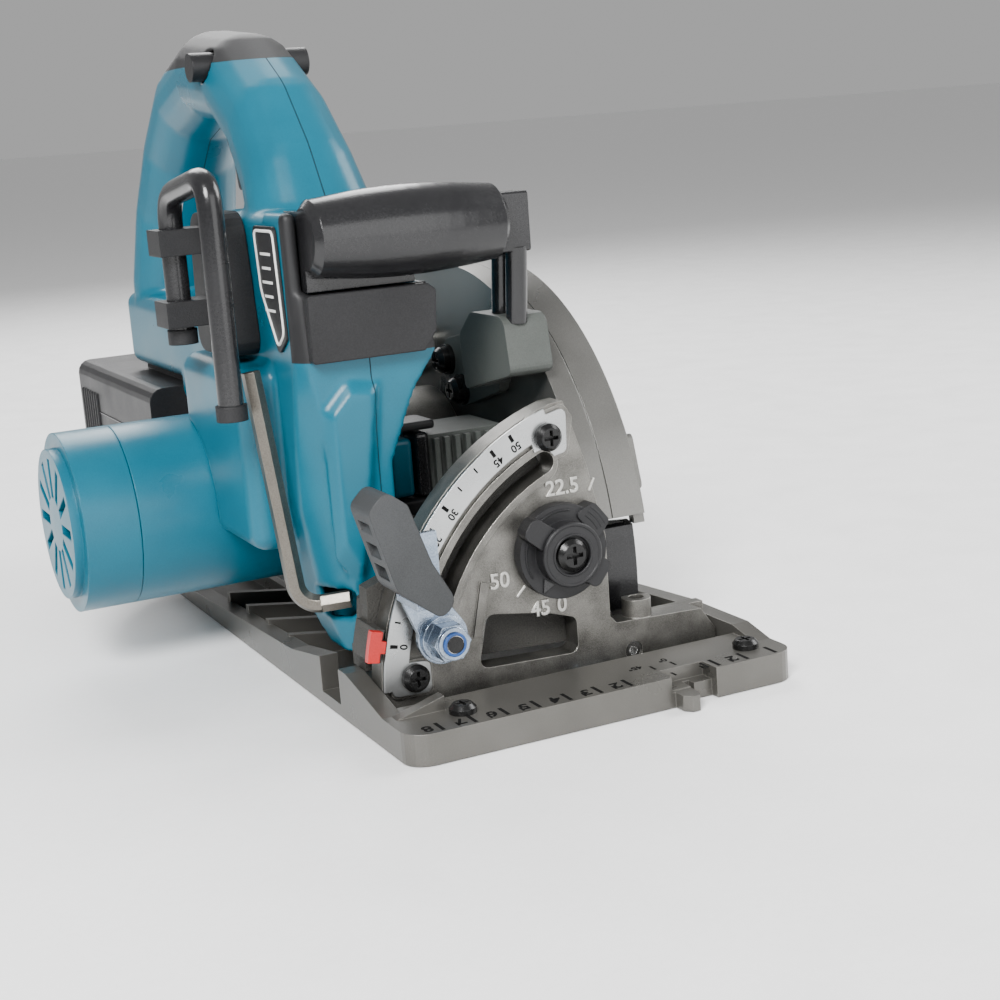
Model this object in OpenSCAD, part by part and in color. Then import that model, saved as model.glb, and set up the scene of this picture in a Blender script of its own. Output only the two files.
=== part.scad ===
// Cordless circular saw with a 165 mm blade, motor beside the blade.
// Origin: on the sole, on the cut line, at the front edge of the base.
// X runs across the saw with the blade at x = 0, -Y is the way it cuts, +Z is up.

/* [Blade] */
// Diameter of the saw blade
blade_d = 165; // [160:1:165]
// Width of the blade's teeth
kerf = 1.6; // [1.2:0.1:1.8]
// Number of teeth on the blade
blade_teeth = 24; // [16:4:40]
// Diameter of the blade's bore
bore_d = 20; // [16:1:20]

/* [Base] */
// Length of the base along the cut
base_len = 272; // [268:1:290]
// Base to the motor side of the cut line
base_left = 90.7; // [90:0.1:96]
// Base to the free side of the cut line
base_right = 36.6; // [36:0.1:44]
// Height of the raised front strip
strip_top = 9.2; // [8:0.1:9.6]
// Thickness of the sole between its ribs
web = 2.2; // [2:0.1:2.4]

/* [Bevel] */
// Height of the bevel axis over the sole
bevel_z = 7.5; // [7.4:0.1:8]
// Outer radius of the quadrant about the bevel axis
quadrant_r = 84.6; // [84:0.1:85]
// Radius of the clamp slot about the bevel axis
slot_r = 69.7; // [69:0.1:70]
// Thickness of the quadrant
quadrant_t = 8; // [7:0.5:8]

/* [Depth] */
// Height of the arbor over the sole at full depth
arbor_z = 27.5; // [27:0.5:28]
// Distance of the arbor behind the front edge
arbor_y = 140; // [140:0.5:141]
// Radius of the depth guide about the depth pivot
guide_r = 185; // [184:0.5:186]

/* [Drive] */
// Teeth on the spindle gear
gear_teeth = 44; // [40:1:44]
// Teeth on the pinion
pinion_teeth = 11; // [10:1:11]
// Gear module
gear_mod = 1; // [0.9:0.05:1]
// Outer diameter of the motor housing
motor_d = 60; // [58:1:60]

/* [Battery] */
// Width of the battery
battery_w = 72; // [68:1:74]
// Length of the battery
battery_l = 114; // [100:1:116]
// Height of the battery
battery_h = 44; // [38:1:46]

/* [Hidden] */
$fn = 64;

// Metals, plastics and rubber
cast_grey = [0.56, 0.55, 0.52];
dark_cast = [0.2, 0.2, 0.19];
steel = [0.72, 0.73, 0.75];
zinc = [0.68, 0.72, 0.76];
black = [0.06, 0.06, 0.07];
dark_grey = [0.2, 0.21, 0.21];
teal = [0, 0.42, 0.52];
copper = [0.75, 0.4, 0.2];
red = [0.75, 0.08, 0.06];

// Base
strip_len = 26;
rim_w = 6;
opening_left = -60;
opening_right = 21;
opening_front = 42.8;
opening_back = 251.8;
flange_t = 3;
flange_top = 7.5;
rear_floor = 4;

// Quadrant and the bracket that slides on its back
quad_front = 34.7;
quad_back = quad_front + quadrant_t;
foot_bottom = 5.4;
clamp_angle = 16;
clamp_x = -slot_r * cos(clamp_angle);
clamp_z = bevel_z + slot_r * sin(clamp_angle);
bevel_travel = 50;
knob_x = -24.5;
knob_z = 44.5;
bracket_front = quad_back + 0.3;
bracket_back = bracket_front + 6;
pivot_boss_r = 6.6;
pivot_screw_r = 3;
running_gap = 0.05;
clamp_bolt_r = 3;
// the lever and its nut sit in front of the heads of the scale screws
lever_back = quad_front - 5.5;
lever_t = 2;

// Depth pivot and guide
depth_y = 56;
depth_z = 34;
depth_pin_r = 4;
guide_x = [-17, -14];
guide_slot_r = 3.3;
guide_bolt_angle = 3;
depth_travel = 33;
guide_bolt_y = depth_y + guide_r * cos(guide_bolt_angle);
guide_bolt_z = depth_z + guide_r * sin(guide_bolt_angle);

// Blade case
case_r = 96;
case_wall = 3.4;
case_left = -6.9;
case_inner_left = -4.4;
case_seam = 1.6;
case_right = 13;
cover_inner = 10.4;
case_front_angle = 168;
case_rear_angle = -4;
guard_r = 89;
guard_bore_r = 23;
flange_r = 18;

// Drive
pressure = 25;
gear_r = gear_mod * gear_teeth / 2;
pinion_r = gear_mod * pinion_teeth / 2;
motor_angle = 62;
motor_y = arbor_y + (gear_r + pinion_r) * cos(motor_angle);
motor_z = arbor_z + (gear_r + pinion_r) * sin(motor_angle);
barrel_r = motor_d / 2;
spindle_r = 6;
shaft_r = 4;

// Body
body_mid = -69;
body_left = -91;
body_right = -47;
shell_wall = 3;
battery_x = -66;
battery_y = 198;
battery_top = 85.5;

// ---- 2D helpers ----
function unit(v) = v / norm(v);
function arc(centre, r, from, to, steps) =
    [for (i = [0:steps]) let (a = from + (to - from) * i / steps) centre + r * [cos(a), sin(a)]];
function wrap(a) = a > 180 ? a - 360 : a < -180 ? a + 360 : a;
// Points that round corner b between its neighbours a and c
function fillet(a, b, c, r, steps) =
    let (u = unit(a - b), v = unit(c - b), half = acos(u * v) / 2,
         centre = b + unit(u + v) * r / sin(half),
         start = b + u * r / tan(half) - centre, end = b + v * r / tan(half) - centre,
         from = atan2(start[1], start[0]))
    arc(centre, r, from, from + wrap(atan2(end[1], end[0]) - from), steps);
// Outline p with its corners rounded to radius r, or to a list of radii
function rounded(p, r, steps = 4) =
    let (n = len(p))
    [for (i = [0:n - 1]) let (ri = is_list(r) ? r[i] : r)
        each ri == 0 ? [p[i]] : fillet(p[(i + n - 1) % n], p[i], p[(i + 1) % n], ri, steps)];
// Outline p, given anticlockwise, with every side moved in by d
function inset(p, d) =
    let (n = len(p))
    [for (i = [0:n - 1])
        let (u = unit(p[i] - p[(i + n - 1) % n]), v = unit(p[(i + 1) % n] - p[i]),
             nu = [-u[1], u[0]], nv = [-v[1], v[0]], m = unit(nu + nv))
        p[i] + m * d / (m * nv)];
function box_points(x0, x1, y0, y1) = [[x0, y0], [x1, y0], [x1, y1], [x0, y1]];

module wedge(r, from, to) polygon(concat([[0, 0]], arc([0, 0], r, from, to, 8)));
module ring(r0, r1) difference() {
    circle(r1, $fn = 128);
    circle(r0, $fn = 128);
}
module ring_sector(r0, r1, from, to) intersection() {
    ring(r0, r1);
    wedge(2 * r1, from, to);
}
module arc_slot(r, half, from, to) {
    ring_sector(r - half, r + half, from, to);
    for (a = [from, to]) translate(r * [cos(a), sin(a)]) circle(half - 0.01);
}

// ---- 3D helpers: an outline in Y and Z drawn along X, one in X and Z along Y, and round bars ----
module along_x(x0, x1) translate([x0, 0, 0]) rotate([90, 0, 90]) linear_extrude(x1 - x0) children();
module along_y(y0, y1) translate([0, y1, 0]) rotate([90, 0, 0]) linear_extrude(y1 - y0) children();
module bar_x(x0, x1, y, z, r) translate([x0, y, z]) rotate([0, 90, 0]) cylinder(h = x1 - x0, r = r);
module bar_y(y0, y1, x, z, r) translate([x, y1, z]) rotate([90, 0, 0]) cylinder(h = y1 - y0, r = r);
module bar_z(z0, z1, x, y, r) translate([x, y, z0]) cylinder(h = z1 - z0, r = r);
module block(lo, hi) translate(lo) cube(hi - lo);
module tube_x(x0, x1, y, z, r0, r1) difference() {
    bar_x(x0, x1, y, z, r1);
    bar_x(x0 - 1, x1 + 1, y, z, r0);
}
module at_arbor() translate([arbor_y, arbor_z]) children();
module at_motor() translate([motor_y, motor_z]) children();
module at_depth_pivot() translate([depth_y, depth_z]) children();
module at_bevel() translate([0, bevel_z]) children();
// Pan-head cross-recess screw, its head's underside at the origin, pointing up
module pan_screw(head_r, head_h, shank_r, length) difference() {
    union() {
        cylinder(h = head_h * 0.55, r = head_r, $fn = 32);
        translate([0, 0, head_h * 0.55]) cylinder(h = head_h * 0.45, r1 = head_r, r2 = head_r * 0.72, $fn = 32);
        translate([0, 0, -length]) cylinder(h = length + 0.1, r = shank_r, $fn = 24);
    }
    for (a = [0, 90]) rotate(a) translate([-head_r * 0.55, -head_r * 0.12, head_h * 0.45])
        cube([head_r * 1.1, head_r * 0.24, head_h]);
}

// ---- Base ----
module base_outline() polygon(rounded(box_points(-base_left, base_right, 0, base_len), [7, 7, 14, 14], 6));
module opening_outline(grow) polygon(rounded(inset(
    box_points(opening_left, opening_right, opening_front, opening_back), -grow), 5 + grow, 5));
module left_rim() along_x(-base_left, -base_left + rim_w) polygon([
    [0, 0], [base_len, 0], [base_len, 6], [207, 6], [97, 10.9], [70, 15.2], [70, 4], [54, 4],
    [54, 15.2], [48, 15.2], [20, strip_top], [0, strip_top]]);
module right_rim() along_x(base_right - rim_w, base_right) polygon([
    [0, 0], [base_len, 0], [base_len, 6], [180, 6], [120, 8], [60, 12], [26, 12], [14, strip_top],
    [0, strip_top]]);
module corner_gusset() along_y(16, 20) polygon([[-88, 0], [-73, 0], [-73, 13.5], [-88, strip_top]]);
module left_ribs() for (y = [112, 134, 156, 178])
    along_y(y, y + 3) polygon([[-86, 0], [opening_left - 1, 0], [opening_left - 1, flange_top], [-86, 11]]);
module right_ribs() for (y = [62, 84, 128, 172, 216])
    block([opening_right + 1, y, 0], [base_right - 3, y + 2, 8]);
module rear_member() block([-base_left + 3, opening_back + 1, 0], [base_right - 3, base_len - 4, rear_floor]);
module sight_notch() {
    block([-7, -1, 5], [8, 8, 20]);
    block([-0.6, -10, -1], [1.8, 6, 20]);
    block([1.8, -10, -1], [8, 3, 20]);
}
module sight_finger() intersection() {
    linear_extrude(4.6) polygon(rounded([[-6.4, 2], [-6.4, -4], [-4.4, -6.4], [-2, -6.4], [-0.6, -4], [-0.6, 2]],
        [0, 0.6, 0.6, 0.6, 0.6, 0]));
    block([-10, -8, 0], [3, 4, 6]);
}
module base_plate() color(cast_grey) difference() {
    union() {
        intersection() {
            linear_extrude(30) base_outline();
            union() {
                block([-base_left, 0, 0], [base_right, base_len, web]);
                block([-base_left, 0, 0], [base_right, strip_len, strip_top]);
                left_rim();
                right_rim();
                corner_gusset();
                left_ribs();
                right_ribs();
                rear_member();
                linear_extrude(flange_top) difference() {
                    opening_outline(flange_t);
                    translate([-120, 0]) square([200, opening_front + 2]);
                }
            }
        }
        sight_finger();
    }
    translate([0, 0, -1]) linear_extrude(40) opening_outline(0);
    // room for the rear bevel pin and the foot of its bracket
    block([-26.3, opening_back + 1, rear_floor], [26.3, opening_back + 20, 20]);
    block([-4, opening_back - 1, rear_floor], [4, opening_back + 2, 20]);
    bar_y(opening_back + 8.2, opening_back + 12, 0, bevel_z, 5.2);
    sight_notch();
    block([-7.5, -10, 4.6], [8, 1, 20]);
    for (x = [-69.6, 25.6]) bar_z(1, 20, x, 11.2, 2.1);
}
module rear_bracket() color(dark_cast) difference() {
    union() {
        along_y(opening_back + 1.2, opening_back + 8.2) polygon([
            [-20, rear_floor], [20, rear_floor], [20, 8], [9, 16.5], [-9, 16.5], [-20, 8]]);
        block([-26, opening_back + 1.2, rear_floor], [26, opening_back + 15.2, rear_floor + 2.4]);
    }
    bar_y(200, 300, 0, bevel_z, pivot_screw_r);
    bar_y(opening_back + 8.2, 300, 0, bevel_z, 5.2);
    for (x = [-21, 21]) bar_z(0, 20, x, opening_back + 11.4, 2.2);
}
// The front pivot is a set screw in the quadrant, the rear one a headed pin in the rear bracket
module bevel_pins() color(steel) {
    bar_y(opening_back - 8.4, opening_back + 8.2, 0, bevel_z, pivot_screw_r);
    bar_y(opening_back + 8.2, opening_back + 11.2, 0, bevel_z, 4.8);
    difference() {
        bar_y(quad_front + 0.6, bracket_back, 0, bevel_z, pivot_screw_r);
        bar_y(quad_front - 1, quad_front + 3.4, 0, bevel_z, 1.5, $fn = 6);
    }
}

// ---- Quadrant ----
fence_hole = [4.4, 39.6];
function quadrant_points() = concat(
    [[29.9, foot_bottom], [29.9, 9.1], [24.8, 16.5], [-5.6, 17.6], [-7.7, 20], [-7.7, 46],
     [-12.6, 68.3], [-19.5, 89]],
    arc([0, bevel_z], quadrant_r, 106.4, 178.8, 24),
    [[-quadrant_r, foot_bottom]]);
module clamp_slot() at_bevel() arc_slot(slot_r, clamp_bolt_r + 0.3, 180 - clamp_angle + 0.8,
    180 - clamp_angle - bevel_travel - 0.8);
module quadrant_window()
    polygon(rounded([[-53, 12.3], [-19.4, 11], [-19.4, 22], [-30, 25.5], [-49.3, 28.6]], 2.6));
module bevel_quadrant() color(cast_grey) difference() {
    union() {
        along_y(quad_front, quad_back) {
            difference() {
                polygon(quadrant_points());
                quadrant_window();
            }
            at_bevel() circle(4.6);
        }
        // raised rim along the slot, pads for the two scale screws, and a radial rib
        along_y(quad_front - 1, quad_front + 0.5) at_bevel()
            arc_slot(slot_r, 5.6, 180 - clamp_angle, 180 - clamp_angle - bevel_travel);
        along_y(quad_front - 1, quad_front + 0.5) polygon(rounded([
            [-17, 84], [-20, 88.6], [-33, 85.8], [-29.4, 71], [-19.4, 72.6]], 2));
        along_y(quad_front - 1, quad_front + 0.5) polygon(rounded([
            [-82.2, 9], [-68.6, 8.4], [-68.6, 20], [-81.6, 20]], 2));
        along_y(quad_front - 1, quad_front + 0.5) polygon([
            [-51.6, 22], [-54.4, 22.6], [-50.8, 39], [-48.2, 38.2]]);
        // shelf behind the foot and the threaded boss on it
        block([8, quad_back - 1, 9], [29.9, 45.8, 16.5]);
        intersection() {
            bar_z(12, 23, fence_hole[0], fence_hole[1], 4.6);
            block([-10, quad_front, 0], [20, quad_back, 40]);
        }
        // feet down to the sole
        block([-quadrant_r, quad_front, web], [-76, quad_back, foot_bottom + 1]);
        block([22, quad_front, web], [29.9, quad_back, foot_bottom + 1]);
    }
    along_y(20, 60) clamp_slot();
    bar_y(20, 60, knob_x, knob_z, 5.05);
    bar_y(20, 60, 0, bevel_z, pivot_screw_r + 0.02);
    bar_z(11, 40, fence_hole[0], fence_hole[1], 2.5);
    bar_y(20, 60, -26.4, 79.3, 2);
    bar_y(20, 60, -74.7, 14.9, 2);
}
module scale_plate() color([0.8, 0.81, 0.82]) along_y(quad_front - 1.9, quad_front - 1.1) difference() {
    union() {
        at_bevel() ring_sector(77, quadrant_r, 108.5, 177);
        at_bevel() ring_sector(70, 78, 108.5, 111);
        polygon(rounded([[-19.5, 87.6], [-33, 84.4], [-30, 72.4], [-20, 74]], 2));
        polygon(rounded([[-82, 10], [-69.4, 9.4], [-69.4, 19], [-82, 20]], 2));
    }
    translate([-26.4, 79.3]) circle(2.2);
    translate([-74.7, 14.9]) circle(2.2);
    at_bevel() arc_slot(slot_r, 4.5, 180 - clamp_angle, 180 - clamp_angle - bevel_travel);
}
module plate_screws() color(black) {
    for (p = [[-26.4, 79.3], [-74.7, 14.9]])
        translate([p[0], quad_front - 1.9, p[1]]) rotate([90, 0, 0]) pan_screw(4.2, 3.2, 1.95, 8);
    for (x = [-69.6, 25.6]) translate([x, 11.2, strip_top]) pan_screw(4, 2.8, 2, 7);
}
module fence_guide_pad() color(zinc) {
    block([-22, 27.5, web], [-5, 42, web + 1]);
    along_y(28, 34) polygon([[-20, web + 1], [-7, web + 1], [-9, web + 2.2], [-18, web + 2.2]]);
}

// ---- Stop knob ----
module stop_knob() color(black) difference() {
    union() {
        bar_y(30.4, quad_front - 0.3, knob_x, knob_z, 14.5);
        bar_y(24.4, 30.5, knob_x, knob_z, 9.4);
        bar_y(quad_front - 0.4, quad_back - 0.2, knob_x, knob_z, 5);
        // grip bar across the disc, thumb tab and pointer
        along_y(25.6, 31) translate([knob_x, knob_z]) rotate(-38)
            polygon(rounded([[-17, -3.4], [14, -4.6], [14, 4.6], [-17, 3.4]], 2.2));
        along_y(29.6, quad_front - 0.3) translate([knob_x, knob_z]) rotate(38)
            polygon(rounded([[10, -6], [17, -4], [17, 4], [10, 6]], 1.6));
    }
    bar_y(20, 40.2, knob_x, knob_z, 2.6);
    bar_y(20, 25.8, knob_x, knob_z, 6);
}
module stop_knob_screw() color(black) translate([knob_x, 25.8, knob_z]) rotate([90, 0, 0])
    pan_screw(5, 2.6, 2.5, 14);

// ---- Bevel bracket, which tilts with the saw ----
module bevel_bracket() color(dark_cast) difference() {
    union() {
        along_y(bracket_front, bracket_back) {
            polygon(concat(
                [[-11.4, 12], [-11.4, 46]],
                arc([0, bevel_z], 74, 112, 148, 8),
                [[-72, 45], [-83.4, 41], [-84.2, 24], [-80, 16.5], [-60, 14.5]]));
            at_bevel() circle(pivot_boss_r);
            polygon([[-12, 12], [-3, 2.6], [3, 2.6], [3, 12], [-6, 22], [-12, 26]]);
        }
        // lugs for the depth pivot pin
        for (x = [-44, -18]) along_x(x, x + 6) {
            at_depth_pivot() circle(8);
            polygon([[bracket_back - 1, 20], [depth_y, 26], [depth_y, 42], [bracket_back - 1, 48]]);
        }
        // ledge and tapered buffer at the left end
        block([-84, bracket_back - 1, 14.6], [-73, 58, 21]);
        translate([-79, 53.4, 20]) cylinder(h = 16, r1 = 5, r2 = 3.6);
        // arm that carries the bevel pointer round the edge of the quadrant
        along_y(34, bracket_front + 1) at_bevel() ring_sector(quadrant_r + 0.7, 88.4, 164.4, 171);
        along_y(bracket_front, bracket_back) at_bevel() ring_sector(76, 88.4, 164.4, 171);
    }
    bar_y(20, 60, 0, bevel_z, pivot_screw_r + running_gap);
    bar_x(-60, 0, depth_y, depth_z, depth_pin_r);
    bar_y(20, 60, clamp_x, clamp_z, clamp_bolt_r);
}
module bevel_pointer() color(red) along_y(31.6, 34) at_bevel() difference() {
    ring_sector(quadrant_r + 0.7, 90.4, 164.6, 170.6);
    ring_sector(quadrant_r, 86.8, 168.8, 172);
    ring_sector(quadrant_r, 86.8, 163, 166.4);
}
module clamp_bolt() color(steel) {
    bar_y(lever_back - 10.6, bracket_back + 0.2, clamp_x, clamp_z, clamp_bolt_r);
    bar_y(bracket_back, bracket_back + 3, clamp_x, clamp_z, 6);
}
module depth_pivot_pin() color(steel) {
    bar_x(-44, -12, depth_y, depth_z, depth_pin_r);
    bar_x(-46.4, -44, depth_y, depth_z, 6);
}
module depth_guide() color(steel) difference() {
    union() {
        along_x(guide_x[0], guide_x[1]) at_depth_pivot() ring_sector(guide_r - 7, guide_r + 7, -7, 40);
        along_y(opening_back - 7.6, opening_back - 0.4) {
            at_bevel() circle(pivot_boss_r);
            polygon([[guide_x[0], 8], [0, 2.8], [0, 14], [guide_x[1], 20], [guide_x[0], 20]]);
        }
        along_x(guide_x[0], guide_x[1]) polygon([
            [opening_back - 20, 12], [opening_back - 0.4, 8], [opening_back - 0.4, 20],
            [opening_back - 6, 30], [opening_back - 20, 24]]);
    }
    along_x(-30, 0) at_depth_pivot() arc_slot(guide_r, guide_slot_r,
        guide_bolt_angle - 0.4, guide_bolt_angle + depth_travel + 0.4);
    bar_y(200, 300, 0, bevel_z, pivot_screw_r + running_gap);
}

// ---- Bevel clamp lever ----
module bevel_lever_arm() color(zinc) difference() {
    union() {
        bar_y(lever_back - lever_t, lever_back, clamp_x, clamp_z, 7.8);
        bar_y(lever_back - 1, quad_front - 1.1, clamp_x, clamp_z, 4);
        along_y(lever_back - lever_t, lever_back)
            polygon([[-74.4, 28.6], [-60.4, 31], [-71, 46], [-80, 43]]);
        along_x(-79.6, -72) polygon([[14, 40], [16, 40], [16, 62], [14, 62]]);
        along_x(-79.6, -72) polygon([[14, 40], [lever_back, 40], [lever_back, 42], [14, 42]]);
    }
    bar_y(0, 60, clamp_x, clamp_z, clamp_bolt_r + running_gap);
}
function grip_points() = [[-94, 71.5], [-88.6, 76.8], [-82.3, 72], [-76.5, 54.7], [-69.8, 42.4],
    [-74.9, 38.4], [-87.3, 48]];
module bevel_lever_grip() color(black) difference() {
    along_y(8, 22) polygon(rounded(grip_points(), [3, 3, 3, 6, 4, 3, 6]));
    along_x(-79.7, -71.9) polygon([[13.9, 30], [16.1, 30], [16.1, 62.1], [13.9, 62.1]]);
    block([-79.7, 16, 30], [-71.9, 24, 42.1]);
    for (i = [0:2]) translate([-93.2 + 2.4 * i, 15, 66 - 6.6 * i]) rotate([0, 20, 0])
        cube([3.4, 8, 3.4], center = true);
}
module clamp_nut() color(zinc) translate([clamp_x, lever_back - lever_t, clamp_z]) rotate([90, 0, 0])
difference() {
    union() {
        cylinder(h = 1.5, r = 7);
        cylinder(h = 6.8, r = 5.9, $fn = 6);
        cylinder(h = 8, r = 4.8);
    }
    translate([0, 0, -1]) cylinder(h = 12, r = clamp_bolt_r + running_gap);
}

// ---- Blade case, its cover and the guard ----
module case_plan(r) {
    intersection() {
        circle(r, $fn = 180);
        wedge(2 * r, case_rear_angle + 0.2, case_front_angle - 0.2);
    }
}
module pivot_arm() {
    along_x(-37.4, -18.6) {
        at_depth_pivot() circle(6.4);
        polygon([[depth_y, depth_z - 6], [84, 30], [84, 46], [depth_y, depth_z + 6]]);
    }
    block([-37.4, 68, 30.6], [case_inner_left - 1, 84, 46]);
}
module blade_case() color(cast_grey) difference() {
    union() {
        along_x(case_left, case_seam - 0.3) at_arbor() ring_sector(case_r - case_wall, case_r,
            case_rear_angle, case_front_angle);
        along_x(case_left, case_inner_left) at_arbor() {
            case_plan(case_r - case_wall + 1);
            circle(34);
        }
        // raised field beside the gear case and a rib that follows the rim
        along_x(-10.5, case_left + 1) at_arbor() circle(34);
        along_x(case_left - 2, case_left + 1) at_arbor() ring_sector(62, 64.4, 60, 84);
        bar_x(case_left - 5, case_left + 1, 159, 95, 5.4);
        // bearing boss, and the boss that the lower guard turns on
        bar_x(-18, case_inner_left, arbor_y, arbor_z, 16);
        bar_x(case_inner_left - 1, -1.7, arbor_y, arbor_z, guard_bore_r - running_gap);
        pivot_arm();
        // lug for the depth clamp
        along_x(guide_x[1] + 0.4, case_left + 1) polygon(rounded([
            [214, 36], [240, 33], [249, 38], [249, 50], [240, 54], [214, 66]], [0, 4, 4, 4, 4, 0]));
    }
    // spring groove, spindle clearance and bearing seat
    along_x(-8.8, case_inner_left + 0.01) at_arbor() ring(guard_bore_r + 0.8, 30);
    bar_x(-30, 5, arbor_y, arbor_z, 9);
    bar_x(case_inner_left - 1.6, 5, arbor_y, arbor_z, flange_r + 1.2);
    bar_x(-30, -10, arbor_y, arbor_z, 13);
    // pivot bore, bolt hole, and the slotted window in the wall
    bar_x(-60, 0, depth_y, depth_z, depth_pin_r + running_gap);
    bar_x(-30, 5, guide_bolt_y, guide_bolt_z, 3);
    block([-20, 188, 55], [case_inner_left + 1, 210, 60]);
}
module blade_cover() color(cast_grey) difference() {
    union() {
        along_x(case_seam, case_right) at_arbor() ring_sector(case_r - case_wall, case_r,
            case_rear_angle, case_front_angle);
        along_x(cover_inner, case_right) intersection() {
            at_arbor() circle(case_r - case_wall + 1, $fn = 180);
            translate([0, 40]) square([300, 200]);
            at_arbor() case_plan(case_r);
        }
        // bright pad on the front of the cover
        along_x(case_right - 1, case_right + 3.2) polygon(rounded([[52, 54], [62, 52], [64, 70], [57, 71]], 1.6));
        // lip round the cover's lower edge
        along_x(cover_inner, case_right + 1.2) intersection() {
            at_arbor() ring(case_r - 6, case_r - 3);
            translate([0, 44]) square([300, 200]);
        }
    }
    for (a = [30, 70, 110, 150]) translate([0, arbor_y + 84 * cos(a), arbor_z + 84 * sin(a)])
        bar_x(8, 20, 0, 0, 2.2);
}
module guard_section() polygon([
    [30, -3.9], [guard_r, -3.9], [guard_r, 8.6], [52, 8.6], [52, 7.2], [guard_r - 1.6, 7.2],
    [guard_r - 1.6, -2.5], [30, -2.5]]);
guard_start = 170;
guard_sweep = 184;
module lower_guard() color(steel) translate([0, arbor_y, arbor_z]) rotate([90, 0, 90]) {
    rotate([0, 0, guard_start]) rotate_extrude(angle = guard_sweep, $fn = 128) guard_section();
    difference() {
        translate([0, 0, -4]) cylinder(h = 1.55, r = 34);
        translate([0, 0, -5]) cylinder(h = 4, r = guard_bore_r);
    }
}
module guard_lever() color(black) difference() {
    // the lever's front follows a circle round the arbor, so it passes behind the bevel bracket
    along_x(-2.4, 11) intersection() {
        polygon(rounded([[50.2, 16], [64, 16.4], [67, 24], [66, 42], [54, 44.6], [47.4, 42], [46.8, 26]],
            [2, 4, 4, 3, 3, 2, 4]));
        at_arbor() circle(guard_r + 1.6, $fn = 180);
    }
    at_lever_slot();
    along_x(6, 12) polygon(rounded([[51, 24], [60, 24], [60, 38], [51, 38]], 2));
}
// The lever fits over the guard's rim and both side walls
module at_lever_slot() translate([0, arbor_y, arbor_z]) rotate([90, 0, 90]) {
    translate([0, 0, -4]) cylinder(h = 12.7, r = guard_r + 0.02, $fn = 128);
}
module guard_spring() color(steel) translate([0, arbor_y, arbor_z]) rotate([0, 90, 0])
    for (i = [0:1]) translate([0, 0, -7.9 + 1.7 * i]) rotate_extrude() translate([26.8, 0]) circle(0.84, $fn = 16);
module guard_ring() color(steel) tube_x(-2.4, -1.8, arbor_y, arbor_z, guard_bore_r - running_gap, 26);

// ---- Spindle, flanges, blade ----
// Half tooth width in degrees at radius r, from an involute of base radius rb
function involute(r, rb) = let (t = sqrt(max(0, r * r / (rb * rb) - 1))) t * 180 / PI - atan(t);
function half_tooth(r, rp, teeth) =
    88 / teeth + involute(rp, rp * cos(pressure)) - involute(max(r, rp * cos(pressure)), rp * cos(pressure));
function gear_points(teeth, add, ded) = let (rp = gear_mod * teeth / 2)
    [for (i = [0:teeth - 1]) each concat(
        [for (k = [0:4])
            let (r = rp - ded + (add + ded) * k / 4, a = 360 * i / teeth - half_tooth(r, rp, teeth))
            r * [cos(a), sin(a)]],
        [for (k = [4:-1:0])
            let (r = rp - ded + (add + ded) * k / 4, a = 360 * i / teeth + half_tooth(r, rp, teeth))
            r * [cos(a), sin(a)]])];
module spindle() color(steel) difference() {
    bar_x(-38.2, 0.6, arbor_y, arbor_z, spindle_r);
    bar_x(-18, 5, arbor_y, arbor_z, 4);
}
module spindle_gear() color(steel) along_x(-28, -20) difference() {
    at_arbor() rotate(motor_angle) polygon(gear_points(gear_teeth, 0.9 * gear_mod, 1.25 * gear_mod));
    at_arbor() circle(spindle_r);
}
module inner_flange() color(steel) difference() {
    union() {
        bar_x(-4.3, -kerf / 2 + 0.2, arbor_y, arbor_z, flange_r);
        bar_x(-2, 0.6, arbor_y, arbor_z, bore_d / 2 - 0.02);
    }
    bar_x(-6, 5, arbor_y, arbor_z, spindle_r);
}
plate_t = kerf - 0.4;
module blade_tooth_gaps() for (i = [0:blade_teeth - 1]) rotate(360 * i / blade_teeth)
    polygon([[blade_d / 2 - 9, -1.5], [blade_d / 2 - 8, 1.6],
        [blade_d / 2 + 1, 4.6], [blade_d / 2 + 1, -3.4]]);
module saw_blade() color(steel) difference() {
    along_x(-plate_t / 2, plate_t / 2) at_arbor() difference() {
        circle(blade_d / 2, $fn = 180);
        blade_tooth_gaps();
    }
    bar_x(-5, 5, arbor_y, arbor_z, bore_d / 2);
    along_x(-5, 5) at_arbor() for (i = [0:3]) rotate(90 * i + 12)
        translate([blade_d / 2 - 16, -0.5]) square([30, 1]);
}
module outer_flange() color(steel) difference() {
    union() {
        bar_x(plate_t / 2, 3, arbor_y, arbor_z, flange_r);
        bar_x(2.8, 4.7, arbor_y, arbor_z, 12);
    }
    bar_x(-5, 1.2, arbor_y, arbor_z, bore_d / 2);
    bar_x(-5, 8, arbor_y, arbor_z, 4);
}
module blade_bolt() color(steel) difference() {
    union() {
        bar_x(-16, 4.8, arbor_y, arbor_z, 4);
        bar_x(4.7, 6, arbor_y, arbor_z, 9);
        bar_x(5.9, 10, arbor_y, arbor_z, 7.4);
    }
    along_x(6.6, 11) at_arbor() circle(2.9, $fn = 6);
}
module bearing(x0, x1, y, z, r0, r1) {
    tube_x(x0, x1, y, z, r0, r0 + (r1 - r0) * 0.3);
    tube_x(x0, x1, y, z, r1 - (r1 - r0) * 0.3, r1);
    tube_x(x0 + 1, x1 - 1, y, z, r0 + (r1 - r0) * 0.3, r1 - (r1 - r0) * 0.3);
}
module spindle_bearings() color(steel) {
    bearing(-17.8, -10, arbor_y, arbor_z, spindle_r + 0.03, 13);
    bearing(-38, -32, arbor_y, arbor_z, spindle_r + 0.03, 13);
}

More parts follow.
